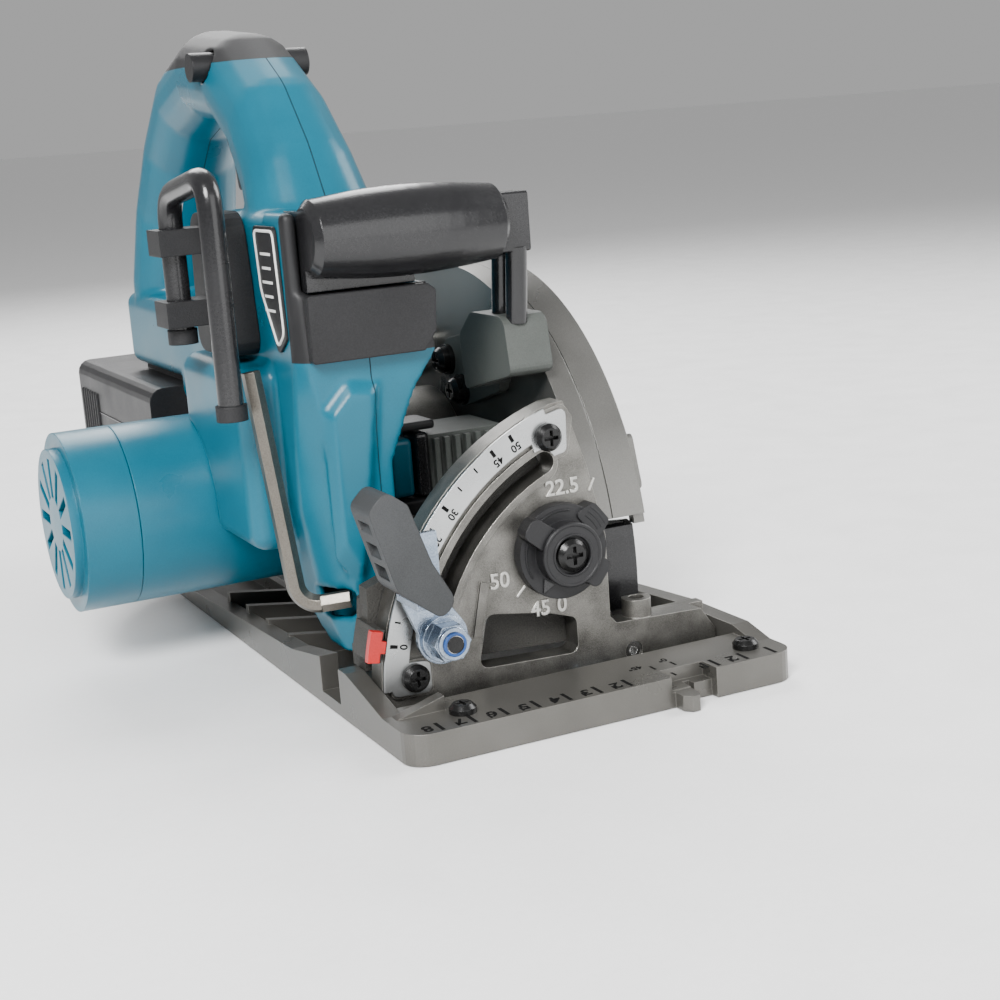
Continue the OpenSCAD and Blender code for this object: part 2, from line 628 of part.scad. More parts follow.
// ---- Gear case and motor ----
across = [-sin(motor_angle), cos(motor_angle)];
module gear_case_plan(grow) {
    a = [arbor_y, arbor_z];
    m = [motor_y, motor_z];
    at_arbor() circle(23.4 + grow);
    at_motor() circle(26 + grow);
    polygon([a - across * (23.4 + grow), m - across * (26 + grow), m + across * (26 + grow),
        a + across * (23.4 + grow)]);
}
module gear_case() color(cast_grey) difference() {
    along_x(-40, -10.8) gear_case_plan(2.2);
    along_x(-31.4, -10) gear_case_plan(0);
    bar_x(-38.2, -30, arbor_y, arbor_z, 13);
    bar_x(-41, -34, motor_y, motor_z, 9.5);
    bar_x(-60, -30, motor_y, motor_z, 7);
    bar_y(100, 120, -22, 30, 2.6);
}
module motor_housing() color(teal) difference() {
    union() {
        tube_x(-128, -40.2, motor_y, motor_z, barrel_r - 2.6, barrel_r);
        along_x(-44, -40.2) at_motor() ring(10.6, barrel_r);
    }
    // air outlets round the fan
    for (a = [200:20:340]) translate([-56, motor_y, motor_z]) rotate([a, 0, 0]) translate([0, 20, -2.4])
        cube([9, 20, 4.8]);
}
module motor_end_cap() color(teal) difference() {
    union() {
        bar_x(-146, -128.2, motor_y, motor_z, barrel_r);
        bar_x(-149, -145, motor_y, motor_z, barrel_r - 5);
    }
    bar_x(-143.6, -120, motor_y, motor_z, barrel_r - 2.6);
    for (a = [0:30:330]) translate([-152, motor_y, motor_z]) rotate([a, 0, 0]) translate([0, 9, -1.6])
        cube([12, 13, 3.2]);
}
module stator() color(copper) {
    tube_x(-112, -72, motor_y, motor_z, 16.6, barrel_r - 2.7);
    for (x = [-117, -72]) tube_x(x, x + 5, motor_y, motor_z, 17, barrel_r - 5);
}
module rotor() color(steel) {
    bar_x(-136, -29, motor_y, motor_z, shaft_r);
    bar_x(-110, -74, motor_y, motor_z, 15.6);
    along_x(-29.4, -19.4) at_motor() rotate(motor_angle + 180 + 180 / pinion_teeth)
        polygon(gear_points(pinion_teeth, 0.9 * gear_mod, 1.15 * gear_mod));
}
module fan() color(dark_grey) {
    tube_x(-66, -54, motor_y, motor_z, shaft_r, 8);
    tube_x(-56, -54, motor_y, motor_z, 7.9, 25);
    for (a = [0:40:320]) translate([-65, motor_y, motor_z]) rotate([a, 0, 0]) translate([0, 7.5, -0.8])
        cube([9.5, 16.5, 1.6]);
}
module motor_bearings() color(steel) {
    bearing(-39.8, -34, motor_y, motor_z, shaft_r + 0.03, 9.5);
    bearing(-136, -130, motor_y, motor_z, shaft_r + 0.03, 9.5);
    color(black) tube_x(-143.5, -130, motor_y, motor_z, 9.5, 12);
}

// ---- Body shells ----
// Leg sections: height, left side, right side, front, back, and the cut across the front left corner
leg_sections = [
    [16, -83, -78, 64, 80, 2],
    [32, -87, -74.5, 61, 98, 12], [60, body_left, -64.6, 61, 116, 13],
    [73, body_left, -64.6, 61, 124, 12], [94, body_left, -55.7, 61, 130, 8], [106, body_left, body_right, 61, 134, 5],
    [126, body_left, body_right, 62.6, 130, 4]];
// Handle beads: centre in Y and Z, radius, and width across the saw
handle_beads = [
    [94, 136, 16, 43], [108, 159, 15, 37],
    [124, 176, 15, 34], [148, 190, 15, 33], [178, 193, 15, 33],
    [206, 185, 15, 33], [226, 168, 15, 34], [240, 145, 15, 38], [247, 118, 15, 43], [247, 104, 15, 44]];
screw_places = [[80, 112], [104, 98], [110, 150], [118, 97],
    [182, 100], [255, 107.5], [240, 150], [216, 177]];

module leg_slice(s, d) translate([0, 0, s[0]]) linear_extrude(0.01)
    polygon([[s[1] + d, s[4] - d], [s[1] + d, s[3] + s[5] + d], [s[1] + s[5] * 0.6 + d, s[3] + d],
        [s[2] - d, s[3] + d], [s[2] - d, s[4] - d]]);
module bead(b, d) for (side = [-1, 1]) translate([body_mid + side * (b[3] / 2 - b[2]), b[0], b[1]])
    sphere(b[2] - d, $fn = 20);
// Box with edges rounded to radius r, moved in by d
module soft_box(lo, hi, r, d) hull()
    for (x = [lo[0] + r, hi[0] - r], y = [lo[1] + r, hi[1] - r], z = [lo[2] + r, hi[2] - r])
        translate([x, y, z]) sphere(r - d, $fn = 12);
module body_solid(d) difference() {
    union() {
        for (i = [0:len(leg_sections) - 2]) hull() {
            leg_slice(leg_sections[i], d);
            leg_slice(leg_sections[i + 1], d);
        }
        for (i = [0:len(handle_beads) - 2]) hull() {
            bead(handle_beads[i], d);
            bead(handle_beads[i + 1], d);
        }
        // root of the handle, the bridge over the motor and the battery mount behind it
        soft_box([body_left, 77, 108], [body_right, 128, 150], 5, d);
        soft_box([body_left, 98, 80], [body_right, 196, 113], 5, d);
        soft_box([body_left, 182, 88], [body_right, 264, 116], 5, d);
        // shoulder that the motor barrel grows out of
        soft_box([-103, 84, 46], [-60, 150, 104], 6, d);
    }
    bar_x(-120, -40, motor_y, motor_z, barrel_r + 0.4 + d);
}
module front_ridge() hull() {
    along_y(57.4, 57.5) polygon([[-83, 90], [-77, 96], [-70, 95], [-74, 66], [-78, 44], [-83.4, 52]]);
    along_y(61.4, 61.5) polygon([[-85.4, 92], [-77, 101], [-66.4, 99], [-71, 66], [-77, 34], [-85.6, 46]]);
}
module screw_bosses() intersection() {
    union() {
        for (p = screw_places) bar_x(-100, -40, p[0], p[1], 6.4, $fn = 24);
    }
    body_solid(0.5);
}
module shell_half() difference() {
    union() {
        difference() {
            body_solid(0);
            body_solid(shell_wall);
        }
        screw_bosses();
        front_ridge();
        soft_box([body_left, 64, 118], [body_left + 4.6, 84, 150], 2, 0);
    }
    // pocket for the hex wrench, battery opening, trigger mouth and lock-off hole
    block([-100, 62, 27], [-78.4, 76, 36]);
    block([-86, 196, 80], [-51, 280, 91]);
    block([-76, 137, 150], [-62, 169, 190]);
    bar_x(-100, -30, 148, 195, 5);
    for (p = screw_places) {
        bar_x(-80, -50, p[0], p[1], 2, $fn = 24);
        bar_x(-58, -30, p[0], p[1], 4.4, $fn = 24);
    }
}
module body_shell_left() color(teal) intersection() {
    shell_half();
    block([-200, 0, 0], [body_mid - 0.1, 400, 300]);
}
module body_shell_right() color(teal) intersection() {
    shell_half();
    block([body_mid + 0.1, 0, 0], [0, 400, 300]);
}
hook_x = -110;
hook_y = 114;
// The front jacket under the grip, and the pad on the motor side that the hook hangs on
module rubber_overmould() color(black) {
    difference() {
        along_y(57, 96) polygon(rounded(
            [[-88, 106.2], [-52.5, 106.2], [-48.4, 112], [-47.6, 124], [-50, 126], [-88, 126]], 1));
        block([-100, 63.3, 100], [body_right + 0.3, 100, 140]);
        block([-100, 60.6, 100], [body_right + 0.3, 63.4, 127]);
    }
    difference() {
        union() {
            along_x(-100, body_left - 0.1)
                polygon(rounded([[94, 106], [132, 106], [128, 150], [100, 150]], [6, 6, 8, 8]));
            for (z = [116, 138]) block([-116, hook_y - 7, z], [-99, hook_y + 7, z + 8]);
        }
        bar_z(100, 160, hook_x, hook_y, 3.85);
    }
}
grip_left = -86;
grip_right = -24;
grip_z = 142;
module front_grip() color(black) {
    translate([0, 61, grip_z]) rotate([0, 90, 0]) rotate_extrude() polygon(concat(
        [[0, grip_left], [9, grip_left]],
        [for (i = [0:12])
            [11.4 + 2 * sin(180 * i / 12), grip_left + 2 + (grip_right - grip_left - 4) * i / 12]],
        [[9, grip_right], [0, grip_right]]));
    block([-86, 62, 126.6], [-52, 76.6, 150]);
}
module grip_rods() color(black) {
    for (y = [68, 78]) translate([-16.4, y, 109.8]) rotate([8, 0, 0]) cylinder(h = 24, r = 3.4);
    along_x(-23.4, -12.6)
        polygon(rounded([[62, 132], [84, 128], [84, 140], [74, 150], [62, 150]], [1, 3, 3, 4, 1]));
}
module dust_cover() color(dark_grey) difference() {
    union() {
        along_x(-22, case_left - 0.1) polygon(rounded([[63, 94], [98, 86], [100, 104], [90, 112], [66, 112]],
            [3, 2, 3, 4, 5]));
        along_x(-10.5, case_left - 0.1)
            polygon(rounded([[96, 84], [124, 76], [142, 88], [138, 98], [98, 106]], 3));
    }
    along_x(-19, -5) polygon([[69, 80], [95, 80], [95, 99], [88, 106], [72, 106]]);
    for (p = [[136, 91], [126, 81.4]]) bar_x(-20, 0, p[0], p[1], 2.1);
}
module dust_cover_screws() color(black) for (p = [[136, 91], [126, 81.4]])
    translate([-12.1, p[0], p[1]]) rotate([0, -90, 0]) {
        pan_screw(4.6, 3.6, 2, 5);
        translate([0, 0, -1.6]) difference() {
            cylinder(h = 1.55, r = 5.4);
            translate([0, 0, -1]) cylinder(h = 4, r = 2.05);
        }
    }
module rating_label() color(black) along_x(body_left - 0.8, body_left) polygon(rounded([
    [68, 113], [76, 108], [88, 126], [90, 146], [70, 146]], 2));
module work_light() color([0.9, 0.9, 0.85]) hull() {
    block([body_right + 0.1, 86, 92], [body_right + 1, 98, 101]);
    block([body_right + 0.1, 87, 93], [body_right + 4, 94, 99]);
}
module air_baffle() color(dark_grey) {
    block([-40, 91, 46], [-13, 117, 74]);
    for (i = [0:6]) block([-38.6 + 3.7 * i, 88.6, 47], [-36.8 + 3.7 * i, 91.4, 73]);
}
module body_screws() color(steel) for (p = screw_places)
    translate([-58, p[0], p[1]]) rotate([0, 90, 0]) pan_screw(3.8, 2.6, 1.9, 20);
module switch_unit() color(dark_grey) {
    block([-77, 170, 183.2], [-61, 202, 195]);
    bar_x(-76.6, -61.4, trigger_pivot[0], trigger_pivot[1], 1.5);
    for (x = [-77, -63]) block([x, 160.6, 183.2], [x + 2, 171, 187]);
}
module control_board() color([0.1, 0.35, 0.15]) {
    block([-84, 128, 86], [-54, 172, 88]);
    for (y = [132, 146, 160]) block([-78, y, 87.9], [-60, y + 9, 95]);
}
module battery_terminals() color(black) difference() {
    block([-83, 200, 93.4], [-55, 246, 101]);
    for (x = [-76, -62]) block([x, 204, 92], [x + 2, 240, 98]);
}

// ---- Controls ----
trigger_pivot = [163, 184];
module trigger() color(black) difference() {
    along_x(-74.6, -63.4) polygon(rounded(
        [[140, 178], [139, 168], [146, 156], [153, 154], [155, 163], [166, 178],
        [167, 187], [159, 187]], 2.4));
    bar_x(-90, -50, trigger_pivot[0], trigger_pivot[1], 1.6);
}
module lock_off_button() color(black) bar_x(-89, -49, 148, 195, 4.6);
module shaft_lock_button() color(black) {
    bar_y(92.5, 99.6, -22, 30, 5);
    bar_y(98, 113.8, -22, 30, 2.4);
}
module battery() color(black) {
    along_y(battery_y, battery_y + battery_l) polygon(rounded(box_points(battery_x - battery_w / 2,
        battery_x + battery_w / 2, battery_top - battery_h, battery_top), 5));
    block([-85.4, battery_y + 4, battery_top - 1], [-51.6, 261, 90]);
}
module battery_latch() color(teal)
    block([-80, battery_y + battery_l + 0.2, 66], [-52, battery_y + battery_l + 4, 82]);
module depth_clamp_bolt() color(steel) {
    bar_x(-25, case_left + 1.1, guide_bolt_y, guide_bolt_z, 2.95);
    along_x(case_left + 1, case_left + 5) translate([guide_bolt_y, guide_bolt_z]) circle(5.6, $fn = 6);
}
module depth_lever() color(black) difference() {
    union() {
        bar_x(-23, guide_x[0] - 0.3, guide_bolt_y, guide_bolt_z, 8.4);
        along_x(-23, guide_x[0] - 0.6) polygon(rounded([
            [guide_bolt_y - 7, guide_bolt_z], [guide_bolt_y + 7, guide_bolt_z],
            [guide_bolt_y + 26, guide_bolt_z + 40], [guide_bolt_y + 14, guide_bolt_z + 44]], [1, 1, 5, 5]));
    }
    bar_x(-40, 0, guide_bolt_y, guide_bolt_z, 3);
}
module rod(from, to, r) {
    v = to - from;
    translate(from) rotate([0, acos(v[2] / norm(v)), atan2(v[1], v[0])]) cylinder(h = norm(v), r = r);
}
module hook() color(steel) {
    top_back = [hook_x, hook_y, 156];
    top_front = [hook_x, 70, 162];
    foot = [hook_x, 70, 93];
    rod([hook_x, hook_y, 112], top_back, 3.8);
    rod(top_back, top_front, 3.8);
    rod(foot, top_front, 3.8);
    for (p = [top_back, top_front]) translate(p) sphere(4.1);
    bar_y(65, 70, hook_x + 2, 99, 4.6);
    bar_z(91, 93.5, hook_x, 70, 4.4);
}
wrench_r = 2.9;
module hex_wrench() color([0.45, 0.42, 0.36]) translate([-94.9, 71, 31.5]) rotate([-4, -5, 0])
    rotate([0, 0, -28]) {
    translate([0, 0, 7]) cylinder(h = 66, r = wrench_r, $fn = 6);
    translate([7, 0, 0]) rotate([0, 90, 0]) rotate(30) cylinder(h = 9, r = wrench_r, $fn = 6);
    translate([7, 0, 7]) rotate([90, 0, 0]) rotate([0, 0, 180]) rotate_extrude(angle = 90)
        translate([7, 0]) circle(wrench_r, $fn = 6);
}

base_plate();
bevel_quadrant();
scale_plate();
plate_screws();
fence_guide_pad();
rear_bracket();
bevel_pins();
stop_knob();
stop_knob_screw();
bevel_bracket();
bevel_pointer();
clamp_bolt();
depth_guide();
depth_pivot_pin();
bevel_lever_arm();
bevel_lever_grip();
clamp_nut();
blade_case();
blade_cover();
gear_case();
motor_housing();
motor_end_cap();
body_shell_left();
body_shell_right();
rubber_overmould();
front_grip();
grip_rods();
dust_cover();
dust_cover_screws();
rating_label();
stator();
motor_bearings();
spindle_bearings();
switch_unit();
control_board();
battery_terminals();
body_screws();
air_baffle();
work_light();
depth_clamp_bolt();
guard_spring();
guard_ring();
lower_guard();
guard_lever();
spindle();
spindle_gear();
inner_flange();
saw_blade();
outer_flange();
blade_bolt();
rotor();
fan();
trigger();
lock_off_button();
shaft_lock_button();
battery();
battery_latch();
depth_lever();
hook();
hex_wrench();
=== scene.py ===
"""The looks of a cordless circular saw: materials, marks, small details, light and camera.
"""

import math

import bmesh
import bpy
from mathutils import Matrix, Vector


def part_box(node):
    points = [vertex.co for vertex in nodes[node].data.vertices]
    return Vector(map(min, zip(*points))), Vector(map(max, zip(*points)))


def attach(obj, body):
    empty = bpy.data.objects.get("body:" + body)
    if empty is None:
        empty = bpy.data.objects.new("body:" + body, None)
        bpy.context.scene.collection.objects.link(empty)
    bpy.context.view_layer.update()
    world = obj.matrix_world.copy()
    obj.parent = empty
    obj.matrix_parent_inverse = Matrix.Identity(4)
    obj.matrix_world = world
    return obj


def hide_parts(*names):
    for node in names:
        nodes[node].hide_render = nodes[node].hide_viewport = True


MM = 0.001
X, Y, Z = Vector((1, 0, 0)), Vector((0, 1, 0)), Vector((0, 0, 1))

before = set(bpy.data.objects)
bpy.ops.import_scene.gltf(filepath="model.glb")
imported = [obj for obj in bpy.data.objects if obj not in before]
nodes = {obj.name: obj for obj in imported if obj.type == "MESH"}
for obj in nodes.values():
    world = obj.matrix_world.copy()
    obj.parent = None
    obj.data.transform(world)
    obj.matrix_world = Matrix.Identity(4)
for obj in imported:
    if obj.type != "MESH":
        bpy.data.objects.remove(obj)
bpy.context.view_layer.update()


# ---- Materials ----
def material(name, dark, light, roughness, metallic=0.0, coat=0.0, grain=0.4, bump=0.15, patch=25.0,
             edge=0.35, wear_and_highlight=0.0, shine=0.5, stretch=(1, 1, 1)):
    """A Principled material. Fine grain and broad patches vary its colour, roughness and bump.

    grain and patch are sizes in mm. edge is the radius in mm that sharp edges are shaded with. The setting
    after edge lightens edges, partly as wear and partly as a painted highlight on the rims. shine is how
    strongly a surface that isn't metal reflects. stretch scales the noise on each axis.
    """
    made = bpy.data.materials.new(name)
    made.use_nodes = True
    tree = made.node_tree
    add, link = tree.nodes.new, tree.links.new
    shader = tree.nodes["Principled BSDF"]
    shader.inputs["Metallic"].default_value = metallic
    shader.inputs["Coat Weight"].default_value = coat
    shader.inputs["Specular IOR Level"].default_value = shine
    shader.inputs["Coat Roughness"].default_value = 0.12

    coords = add("ShaderNodeTexCoord")
    mapping = add("ShaderNodeMapping")
    mapping.inputs["Scale"].default_value = stretch
    link(coords.outputs["Object"], mapping.inputs["Vector"])
    fine, broad = add("ShaderNodeTexNoise"), add("ShaderNodeTexNoise")
    for noise, size, detail in ((fine, grain, 3.0), (broad, patch, 5.0)):
        noise.inputs["Scale"].default_value = 1 / (size * MM)
        noise.inputs["Detail"].default_value = detail
        link(mapping.outputs["Vector"], noise.inputs["Vector"])

    both = add("ShaderNodeMath")
    both.operation = "ADD"
    link(fine.outputs["Fac"], both.inputs[0])
    link(broad.outputs["Fac"], both.inputs[1])
    spread = add("ShaderNodeMapRange")
    spread.inputs["From Min"].default_value = 0.7
    spread.inputs["From Max"].default_value = 1.3
    link(both.outputs[0], spread.inputs["Value"])
    colour = add("ShaderNodeMix")
    colour.data_type = "RGBA"
    link(spread.outputs["Result"], colour.inputs["Factor"])
    colour.inputs["A"].default_value = (*dark, 1)
    colour.inputs["B"].default_value = (*light, 1)

    rough = add("ShaderNodeMapRange")
    rough.inputs["From Min"].default_value = 0.3
    rough.inputs["From Max"].default_value = 0.7
    rough.inputs["To Min"].default_value = roughness * 0.85
    rough.inputs["To Max"].default_value = min(1, roughness * 1.15)
    link(broad.outputs["Fac"], rough.inputs["Value"])
    link(rough.outputs["Result"], shader.inputs["Roughness"])

    bevel = add("ShaderNodeBevel")
    bevel.samples = 4
    bevel.inputs["Radius"].default_value = edge * MM
    relief = add("ShaderNodeBump")
    relief.inputs["Strength"].default_value = bump
    relief.inputs["Distance"].default_value = grain * MM
    link(fine.outputs["Fac"], relief.inputs["Height"])
    link(bevel.outputs["Normal"], relief.inputs["Normal"])
    link(relief.outputs["Normal"], shader.inputs["Normal"])

    # Edges lighter in colour, towards twice the light colour: partly wear, partly a painted highlight on the
    # rims.
    if wear_and_highlight:
        geometry = add("ShaderNodeNewGeometry")
        turn = add("ShaderNodeVectorMath")
        turn.operation = "DOT_PRODUCT"
        link(bevel.outputs["Normal"], turn.inputs[0])
        link(geometry.outputs["Normal"], turn.inputs[1])
        mask = add("ShaderNodeMapRange")
        mask.inputs["From Min"].default_value = 0.99
        mask.inputs["From Max"].default_value = 0.8
        mask.inputs["To Max"].default_value = wear_and_highlight
        link(turn.outputs["Value"], mask.inputs["Value"])
        worn_and_lit = add("ShaderNodeMix")
        worn_and_lit.data_type = "RGBA"
        link(mask.outputs["Result"], worn_and_lit.inputs["Factor"])
        link(colour.outputs["Result"], worn_and_lit.inputs["A"])
        worn_and_lit.inputs["B"].default_value = (*(min(1, 2 * c) for c in light), 1)
        link(worn_and_lit.outputs["Result"], shader.inputs["Base Color"])
    else:
        link(colour.outputs["Result"], shader.inputs["Base Color"])
    return made


painted_cast = material("painted_casting", (0.095, 0.092, 0.083), (0.14, 0.135, 0.124), 0.3, 0.6, grain=0.25,
                        bump=0.16, wear_and_highlight=0.7)
# Strongest edge lightening: the quadrant's rims are lighter, partly as wear and partly as a painted
# highlight.
raw_cast = material("sparkling_casting", (0.075, 0.073, 0.066), (0.24, 0.233, 0.215), 0.33, 0.85,
                    grain=0.22, bump=0.4,
                    patch=9, wear_and_highlight=0.95)
case_cast = material("case_casting", (0.15, 0.148, 0.138), (0.22, 0.217, 0.205), 0.3, 0.75, grain=0.3,
                     bump=0.1,
                     patch=40, wear_and_highlight=0.3)
relief_cast = material("polished_relief", (0.4, 0.395, 0.37), (0.55, 0.54, 0.51), 0.36, 0.8, grain=0.3,
                       bump=0.1)
dark_cast = material("dark_casting", (0.022, 0.021, 0.019), (0.06, 0.058, 0.052), 0.6, 0.3, grain=0.5,
                     bump=0.7)
teal = material("teal_plastic", (0.0, 0.088, 0.138), (0.0, 0.112, 0.172), 0.32, grain=0.35, bump=0.12,
                edge=0.7, wear_and_highlight=0.12, shine=0.38)
rubber = material("black_rubber", (0.008, 0.008, 0.009), (0.018, 0.018, 0.019), 0.5, grain=0.45, bump=0.35,
                  edge=0.8, shine=0.28)
grip_rubber = material("grey_rubber", (0.026, 0.028, 0.029), (0.045, 0.047, 0.049), 0.45, grain=0.3,
                       bump=0.2, edge=0.7, shine=0.28)
gloss_black = material("gloss_black", (0.008, 0.008, 0.009), (0.016, 0.016, 0.017), 0.24, coat=0.15,
                       grain=0.8, bump=0.05, shine=0.4)
satin_black = material("satin_black", (0.009, 0.009, 0.01), (0.018, 0.018, 0.019), 0.4, grain=0.35, bump=0.22,
                       edge=0.6, shine=0.3)
cover_grey = material("dust_cover_grey", (0.055, 0.061, 0.056), (0.085, 0.093, 0.086), 0.5, grain=0.3,
                      bump=0.2, edge=0.6, shine=0.3)
screw_black = material("black_oxide", (0.01, 0.01, 0.01), (0.03, 0.03, 0.03), 0.25, 0.7, grain=0.3, bump=0.1)
zinc = material("blue_zinc", (0.15, 0.19, 0.25), (0.36, 0.42, 0.5), 0.2, 1.0, grain=0.5, bump=0.1, patch=5,
                wear_and_highlight=0.4)
steel = material("bright_steel", (0.46, 0.46, 0.46), (0.62, 0.62, 0.61), 0.26, 1.0, grain=0.4, bump=0.08)
guard_metal = material("guard_aluminium", (0.42, 0.42, 0.41), (0.55, 0.55, 0.54), 0.33, 0.95, grain=0.3,
                       bump=0.1,
                       stretch=(1, 0.15, 1))
blade_steel = material("ground_steel", (0.4, 0.4, 0.4), (0.62, 0.62, 0.61), 0.24, 1.0, grain=0.3, bump=0.2,
                       stretch=(1, 0.06, 1))
plate_metal = material("scale_aluminium", (0.36, 0.37, 0.37), (0.48, 0.49, 0.49), 0.27, 0.9, grain=0.2,
                       bump=0.08,
                       patch=12)
bronze = material("wrench_steel", (0.11, 0.1, 0.085), (0.2, 0.185, 0.16), 0.34, 0.85, grain=0.4, bump=0.15,
                  wear_and_highlight=0.5)
red = material("red_plastic", (0.36, 0.006, 0.005), (0.5, 0.01, 0.008), 0.3, grain=0.5, bump=0.06)
copper = material("copper_winding", (0.35, 0.12, 0.05), (0.62, 0.26, 0.12), 0.35, 0.9, grain=0.5, bump=0.6,
                  stretch=(0.1, 1, 1))
board = material("circuit_board", (0.005, 0.07, 0.02), (0.01, 0.12, 0.04), 0.3, coat=0.3, grain=1.5, bump=0.3)
lens = material("lamp_lens", (0.68, 0.7, 0.66), (0.8, 0.82, 0.78), 0.12, coat=0.6, grain=0.8, bump=0.2)
ink = material("black_ink", (0.004, 0.004, 0.004), (0.01, 0.01, 0.01), 0.9, grain=0.2, bump=0.1,
               edge=0.02, shine=0.05)
white_ink = material("white_ink", (0.66, 0.66, 0.64), (0.78, 0.78, 0.76), 0.45, grain=0.3, bump=0.1,
                     edge=0.05)

FINISHES = {
    painted_cast: ["base_plate"],
    raw_cast: ["bevel_quadrant", "gear_case"],
    case_cast: ["blade_case", "blade_cover"],
    dark_cast: ["rear_bracket", "bevel_bracket"],
    teal: ["motor_housing", "motor_end_cap", "body_shell_left", "body_shell_right", "battery_latch"],
    rubber: ["rubber_overmould"],
    grip_rubber: ["bevel_lever_grip", "depth_lever"],
    gloss_black: ["front_grip", "guard_lever", "grip_rods"],
    satin_black: ["stop_knob", "trigger", "lock_off_button", "shaft_lock_button", "battery",
                  "battery_terminals", "rating_label", "fan", "switch_unit"],
    cover_grey: ["dust_cover", "air_baffle"],
    screw_black: ["plate_screws", "stop_knob_screw", "dust_cover_screws", "hook"],
    zinc: ["fence_guide_pad", "bevel_lever_arm", "clamp_nut"],
    steel: ["bevel_pins", "clamp_bolt", "depth_pivot_pin", "depth_guide", "motor_bearings",
            "spindle_bearings", "body_screws", "depth_clamp_bolt", "guard_spring", "guard_ring", "spindle",
            "spindle_gear",
            "inner_flange", "outer_flange", "blade_bolt", "rotor"],
    guard_metal: ["lower_guard"],
    blade_steel: ["saw_blade"],
    plate_metal: ["scale_plate"],
    bronze: ["hex_wrench"],
    red: ["bevel_pointer"],
    copper: ["stator"],
    board: ["control_board"],
    lens: ["work_light"],
}
for finish, names in FINISHES.items():
    for name in names:
        for slot in nodes[name].material_slots:
            slot.material = finish


# ---- Builders for detail pieces; all sizes given to them are in mm ----
def place(obj, finish, body):
    obj.data.materials.append(finish)
    bpy.context.collection.objects.link(obj)
    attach(obj, body)
    return obj


def facing(origin, right, up):
    """A transform whose X runs along right, Y along up, and Z out of the surface."""
    right, up = Vector(right).normalized(), Vector(up).normalized()
    turned = Matrix((right, up, right.cross(up))).transposed().to_4x4()
    turned.translation = Vector(origin) * MM
    return turned


def boxes(name, places, finish, body, rounding=0.0):
    """One mesh of boxes, each (transform, (length, width, height)) and centred on its transform's origin."""
    points, faces = [], []
    for transform, size in places:
        first = len(points)
        for i in range(8):
            corner = Vector([size[k] * MM * (0.5 if i >> k & 1 else -0.5) for k in range(3)])
            points.append(transform @ corner)
        for face in ((0, 2, 3, 1), (4, 5, 7, 6), (0, 1, 5, 4), (2, 6, 7, 3), (0, 4, 6, 2), (1, 3, 7, 5)):
            faces.append([first + k for k in face])
    mesh = bpy.data.meshes.new(name)
    mesh.from_pydata(points, [], faces)
    obj = bpy.data.objects.new(name, mesh)
    if rounding:
        modifier = obj.modifiers.new("rounding", "BEVEL")
        modifier.width = rounding * MM
        modifier.segments = 3
    return place(obj, finish, body)


def prism(name, outline, depth, transform, finish, body, rounding=0.0):
    """A flat outline in mm, raised by depth along the transform's Z."""
    count = len(outline)
    points = [transform @ Vector((x * MM, y * MM, z * MM)) for z in (0, depth) for x, y in outline]
    sides = [[i, (i + 1) % count, count + (i + 1) % count, count + i] for i in range(count)]
    mesh = bpy.data.meshes.new(name)
    mesh.from_pydata(points, [], [list(range(count))[::-1], list(range(count, 2 * count))] + sides)
    obj = bpy.data.objects.new(name, mesh)
    if rounding:
        modifier = obj.modifiers.new("rounding", "BEVEL")
        modifier.width = rounding * MM
        modifier.segments = 3
    return place(obj, finish, body)


def rod(name, points, radius, finish, body, closed=False):
    """A round rod or bead in mm through the given points."""
    curve = bpy.data.curves.new(name, "CURVE")
    curve.dimensions = "3D"
    curve.bevel_depth = radius * MM
    curve.bevel_resolution = 6
    curve.use_fill_caps = True
    line = curve.splines.new("POLY")
    line.points.add(len(points) - 1)
    for point, target in zip(line.points, points):
        point.co = (*(Vector(target) * MM), 1)
    line.use_cyclic_u = closed
    line.use_smooth = True
    return place(bpy.data.objects.new(name, curve), finish, body)


def rounded_path(corners, radius, closed=False, steps=6):
    """The corners joined by straight runs, with each bend rounded."""
    corners = [Vector(c) for c in corners]
    path = []
    for i, corner in enumerate(corners):
        if not closed and i in (0, len(corners) - 1):
            path.append(corner)
            continue
        before = (corners[i - 1] - corner).normalized() * radius
        after = (corners[(i + 1) % len(corners)] - corner).normalized() * radius
        for step in range(steps + 1):
            t = step / steps
            path.append(corner + before * (1 - t) ** 2 + after * t ** 2)
    return path


def lettering(name, words, size, transform, finish, body, raised=0.06):
    text = bpy.data.curves.new(name, "FONT")
    text.body = words
    text.size = size * MM
    text.extrude = raised * MM
    text.offset = 0.022 * size * MM
    text.align_x = "CENTER"
    text.align_y = "CENTER"
    obj = bpy.data.objects.new(name, text)
    obj.matrix_world = transform
    return place(obj, finish, body)


# ---- Ruler on the front strip, read from behind the saw ----
STRIP_TOP = 9.2
CENTIMETRE = 10
NOTCH_MARKS = (-1, 0)
MARK_HEIGHT = 0.12


def on_strip(x, y):
    """A place on the strip, turned so that text there reads from behind the saw."""
    return facing((x, y, STRIP_TOP), -X, -Y)


